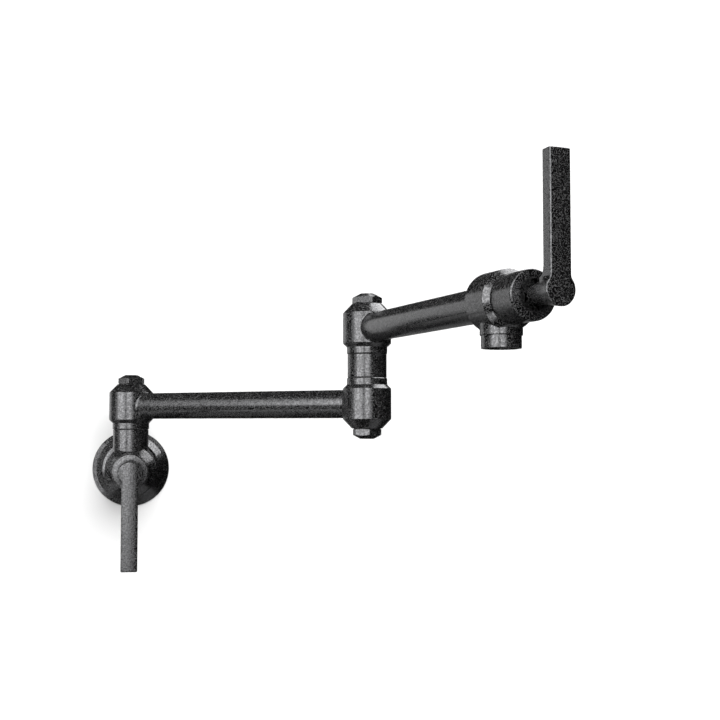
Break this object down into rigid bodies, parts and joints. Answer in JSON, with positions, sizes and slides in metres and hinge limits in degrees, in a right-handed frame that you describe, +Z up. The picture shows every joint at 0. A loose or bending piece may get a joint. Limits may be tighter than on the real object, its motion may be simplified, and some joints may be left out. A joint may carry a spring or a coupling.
{
  "type": "wall mounted pot filler",
  "caption": "Wall mounted pot filler tap with two swinging tube arms, swivel barrels with hexagonal cap nuts, and a lever valve at each end.",
  "frame": {"origin": "centre of the threaded inlet on the wall plane", "axes": "+X along the wall, to the right for a person who faces it; +Y into the wall, the way the supply pipe leaves the inlet; +Z up"},
  "size_m": [0.2833, 0.5001, 0.2779],
  "materials": {
    "satin_black": "near black satin plating on brass, finely mottled",
    "bare_brass": "turned bare brass",
    "stainless": "turned stainless steel",
    "seal_rubber": "black seal rubber",
    "foam": "closed cell foam",
    "ceramic": "lapped ceramic",
    "nylon": "moulded grey plastic",
    "bearing_plastic": "black bearing plastic"
  },
  "bodies": {
    "wall_assembly": {"wall_flange": "satin_black", "wall_gasket": "foam", "flange_o_ring": "seal_rubber", "inlet_valve_body": "satin_black", "wall_column": "satin_black", "wall_post": "bare_brass", "wall_post_o_rings": "seal_rubber", "wall_thrust_washer": "bearing_plastic", "wall_cap_washer": "bearing_plastic", "wall_cap_nut": "satin_black", "inlet_cartridge_sleeve": "bare_brass", "inlet_cartridge_o_ring": "seal_rubber", "inlet_seat_seal": "seal_rubber", "inlet_fixed_disc": "ceramic", "inlet_bonnet": "satin_black"},
    "inlet_handle": {"inlet_stem": "stainless", "inlet_stem_o_rings": "seal_rubber", "inlet_moving_disc": "ceramic", "inlet_lever": "satin_black", "inlet_grub_screw": "stainless"},
    "first_arm": {"wall_swivel_barrel": "satin_black", "first_arm_tube": "satin_black", "elbow_lower_barrel": "satin_black", "elbow_column": "satin_black", "lower_post": "bare_brass", "lower_post_o_rings": "seal_rubber", "lower_thrust_washer": "bearing_plastic", "lower_cap_washer": "bearing_plastic", "lower_cap_nut": "satin_black", "upper_post": "bare_brass", "upper_post_o_rings": "seal_rubber", "upper_thrust_washer": "bearing_plastic", "upper_cap_washer": "bearing_plastic", "upper_cap_nut": "satin_black"},
    "second_arm": {"elbow_upper_barrel": "satin_black", "second_arm_tube": "satin_black", "outlet_valve_body": "satin_black", "spout_collar": "satin_black", "outlet_cartridge_sleeve": "bare_brass", "outlet_cartridge_o_ring": "seal_rubber", "outlet_seat_seal": "seal_rubber", "outlet_fixed_disc": "ceramic", "outlet_bonnet": "satin_black", "spout": "satin_black", "stream_insert": "nylon", "aerator_screen": "stainless", "spout_washer": "seal_rubber"},
    "outlet_handle": {"outlet_stem": "stainless", "outlet_stem_o_rings": "seal_rubber", "outlet_moving_disc": "ceramic", "outlet_lever": "satin_black", "outlet_grub_screw": "stainless"}
  },
  "joints": [
    {"name": "wall_swivel", "type": "hinge", "parent": "wall_assembly", "child": "first_arm", "pos_m": [0, -0.059, 0.057], "axis": [0, 0, -1], "range_deg": [-40, 140]},
    {"name": "elbow_swivel", "type": "hinge", "parent": "first_arm", "child": "second_arm", "pos_m": [0.18347, -0.21295, 0.1165], "axis": [0, 0, -1], "range_deg": [-219, 141]},
    {"name": "inlet_lever_turn", "type": "hinge", "parent": "wall_assembly", "child": "inlet_handle", "pos_m": [0, -0.059, 0], "axis": [0, -1, 0], "range_deg": [0, 90]},
    {"name": "outlet_lever_turn", "type": "hinge", "parent": "second_arm", "child": "outlet_handle", "pos_m": [0.22545, -0.42891, 0.1165], "axis": [0.1908, -0.9816, 0], "range_deg": [0, 90]}
  ]
}
